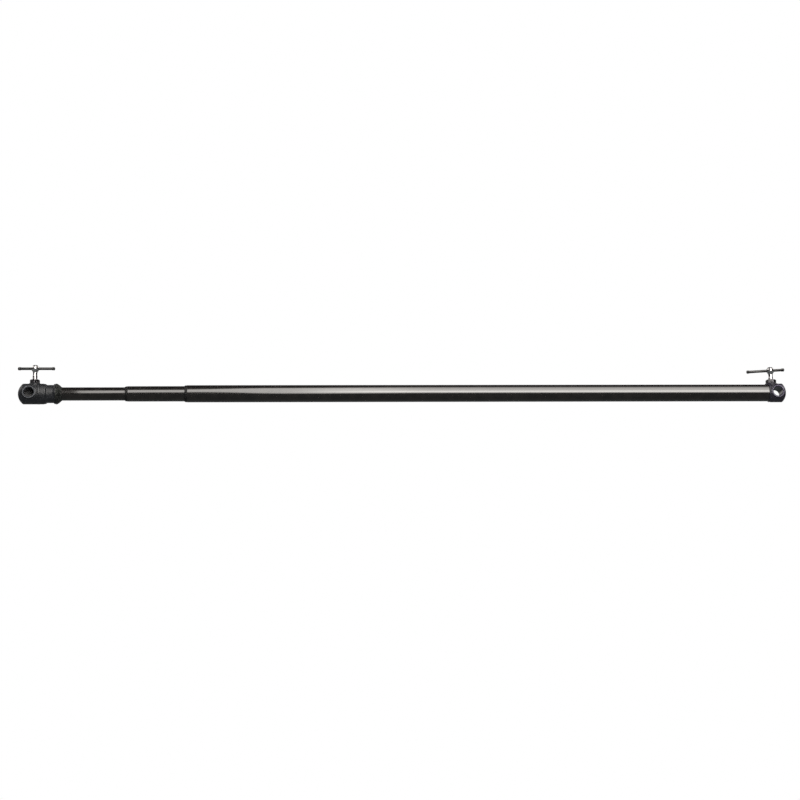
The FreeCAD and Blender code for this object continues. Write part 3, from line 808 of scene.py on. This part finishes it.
def make_floor():
    """A plain pale disc below the bar, which no reflection shows."""
    bm = bmesh.new()
    bmesh.ops.create_circle(bm, cap_ends=True, segments=96, radius=FLOOR_RADIUS)
    material = bpy.data.materials.new("pale_floor")
    material.use_nodes = True
    nodes = Nodes(material.node_tree)
    place = nodes.add("ShaderNodeTexCoord").outputs["Object"]
    mottle = nodes.noise(place, 3.0, detail=6.0)
    base = nodes.mix(mottle, colour(0.8, 0.8, 0.8), colour(0.84, 0.84, 0.84))
    shader = nodes.add("ShaderNodeBsdfPrincipled", {"Base Color": base, "Roughness": 0.8})
    nodes.add("ShaderNodeOutputMaterial", {"Surface": shader.outputs[0]})
    floor = new_piece("floor", mesh_from(bm, "floor"), material)
    floor.location.z = FLOOR_Z
    floor.visible_glossy = False
    floor.visible_diffuse = False


WHITE = colour(1.0, 1.0, 1.0)
LIGHT_TINT = (1.0, 0.965, 0.92)
KEY_STRENGTH = 15.5
KEY_BOTTOM = math.radians(-12)
KEY_TOP = math.radians(88)
# the softbox's brightness at each height, from 0 at its bottom edge to 1 at its top edge
KEY_LEVELS = [
    (0.0, 0.0), (0.08, 0.3), (0.16, 0.85), (0.25, 1.0), (0.32, 0.9), (0.4, 0.58),
    (0.58, 0.5), (0.75, 0.36), (0.88, 0.17), (1.0, 0.0),
]
STRIP_STRENGTH = 7.2
# Each panel's lower and upper edge, in degrees from the front's horizon over the top, its left
# and right edge, as the X of their directions, the widths of its soft edges up and along, and
# its strength. The sweep stands behind the bar, and the walls of the through bore mirror it.
PANELS = {
    "left": (40, 100, -0.9, -0.5, 12, 0.1, 1.6),
    "right back": (105, 150, 0.45, 0.9, 12, 0.1, 2.0),
    "left back": (105, 150, -0.9, -0.45, 12, 0.1, 2.0),
    "sweep": (148, 180, -0.5, -0.13, 8, 0.04, 0.9),
}
BELOW_HORIZON = colour(0.17, 0.18, 0.18)
ABOVE_HORIZON = colour(0.06, 0.056, 0.056)
DOME_TINT = (1.0, 0.99, 0.975)
DOME_FACING = (0.2, -0.62, 0.76)
DOME_DIM = 0.45
DOME_BRIGHT = 2.1


def softbox(nodes, along, height):
    """The large softbox, in front of and above the bar's right half."""
    ramp = nodes.add("ShaderNodeValToRGB")
    ramp.color_ramp.interpolation = "LINEAR"
    while len(ramp.color_ramp.elements) < len(KEY_LEVELS):
        ramp.color_ramp.elements.new(0.5)
    for element, (position, level) in zip(ramp.color_ramp.elements, KEY_LEVELS):
        element.position = position
        element.color = colour(level, level, level)
    share = nodes.add("ShaderNodeMapRange", {
        "Value": height, "From Min": KEY_BOTTOM, "From Max": KEY_TOP,
    }).outputs["Result"]
    nodes.tree.links.new(share, ramp.inputs[0])
    start = nodes.between(along, 0.0, 0.07)
    end = nodes.between(along, 0.28, 0.36, 1.0, 0.0)
    return nodes.chain("MULTIPLY", ramp.outputs[0], start, end, KEY_STRENGTH)


def strip_light(nodes, along, height):
    """The dimmer strip light that stands left of the softbox and overlaps its edge. Its lower
    edge drops towards the right."""
    ledge = nodes.between(along, -0.035, 0.005, math.radians(1), math.radians(-20))
    dip = nodes.between(along, -0.09, -0.06, math.radians(8), 0.0)
    bottom = nodes.math("SUBTRACT", ledge, dip)
    top = nodes.between(along, -0.045, 0.0, math.radians(56), math.radians(76))
    rise = nodes.between(height, bottom, nodes.math("ADD", bottom, math.radians(18)))
    fall_start = nodes.math("SUBTRACT", top, math.radians(20))
    fall = nodes.between(height, fall_start, top, 1.0, 0.0)
    start = nodes.between(along, -0.0985, -0.0955)
    end = nodes.between(along, 0.02, 0.08, 1.0, 0.0)
    brighter = nodes.between(along, -0.1, -0.06, 0.92, 1.05)
    return nodes.chain("MULTIPLY", rise, fall, start, end, brighter, STRIP_STRENGTH)


def panel(nodes, along, height, low, high, left, right, feather, side_feather, strength):
    """One soft-edged panel of the studio, as PANELS describes it."""
    rise = nodes.between(height, math.radians(low), math.radians(low + feather))
    fall = nodes.between(height, math.radians(high - feather), math.radians(high), 1.0, 0.0)
    start = nodes.between(along, left, left + side_feather)
    end = nodes.between(along, right - side_feather, right, 1.0, 0.0)
    return nodes.chain("MULTIPLY", rise, fall, start, end, strength)


def make_world():
    """The camera sees plain white. Mirror-like surfaces see a dark studio with a softbox, a
    strip light and panels, and matt ones see a soft dome, brightest in front and above."""
    world = bpy.data.worlds.new("studio")
    bpy.context.scene.world = world
    world.use_nodes = True
    world.cycles.sampling_method = "NONE"
    nodes = Nodes(world.node_tree)
    direction = nodes.add("ShaderNodeTexCoord").outputs["Generated"]
    axes = nodes.add("ShaderNodeSeparateXYZ", {0: direction})
    along = axes.outputs["X"]
    towards = nodes.math("MULTIPLY", axes.outputs["Y"], -1.0)
    # the angle about the bar, 0 at the front's horizon and rising over the top
    height = nodes.math("ARCTAN2", axes.outputs["Z"], towards)

    lights = [softbox(nodes, along, height), strip_light(nodes, along, height)]
    lights += [panel(nodes, along, height, *edges) for edges in PANELS.values()]
    light = nodes.chain("ADD", *lights)
    lit = nodes.add("ShaderNodeVectorMath", {0: LIGHT_TINT, "Scale": light}, operation="SCALE")
    below = nodes.between(axes.outputs["Z"], -0.25, 0.02, 1.0, 0.0)
    surround = nodes.mix(below, ABOVE_HORIZON, BELOW_HORIZON)
    studio = nodes.add("ShaderNodeVectorMath", {0: lit.outputs[0], 1: surround}, operation="ADD")

    facing = nodes.add("ShaderNodeVectorMath", {0: direction, 1: DOME_FACING},
                       operation="DOT_PRODUCT").outputs["Value"]
    soft = nodes.between(facing, -0.6, 1.0, DOME_DIM, DOME_BRIGHT)
    dome = nodes.add("ShaderNodeVectorMath", {0: DOME_TINT, "Scale": soft}, operation="SCALE")

    rays = nodes.add("ShaderNodeLightPath").outputs
    lighting = nodes.mix(rays["Is Diffuse Ray"], studio.outputs[0], dome.outputs[0])
    seen = nodes.mix(rays["Is Camera Ray"], lighting, WHITE)
    background = nodes.add("ShaderNodeBackground", {"Color": seen, "Strength": 1.0})
    nodes.add("ShaderNodeOutputWorld", {"Surface": background.outputs[0]})


LENS_MM = 90.0
SENSOR_MM = 36.0
CAMERA_DISTANCE = 4.099
CAMERA_AZIMUTH = math.radians(-3.71)
CAMERA_ELEVATION = math.radians(-13.64)
CAMERA_ROLL = math.radians(-0.976)
# the point that the lens looks at, from the middle of the bar's length
AIM = Vector((-0.0127, 0, -0.01375))


def make_camera():
    """A long lens, below the bar's level and a little towards the left head."""
    data = bpy.data.cameras.new("camera")
    data.lens = LENS_MM
    data.sensor_width = SENSOR_MM
    camera = bpy.data.objects.new("camera", data)
    bpy.context.scene.collection.objects.link(camera)
    target = Vector(((cad_low.x + cad_high.x) / 2, 0, 0)) + AIM
    back = Vector((
        math.sin(CAMERA_AZIMUTH) * math.cos(CAMERA_ELEVATION),
        -math.cos(CAMERA_AZIMUTH) * math.cos(CAMERA_ELEVATION),
        math.sin(CAMERA_ELEVATION),
    ))
    camera.location = target + back * CAMERA_DISTANCE
    camera.rotation_mode = "QUATERNION"
    level = (-back).to_track_quat("-Z", "Y")
    camera.rotation_quaternion = level @ Quaternion((0, 0, 1), CAMERA_ROLL)
    bpy.context.scene.camera = camera


make_floor()
make_world()
make_camera()
bpy.context.scene.view_settings.view_transform = "Standard"
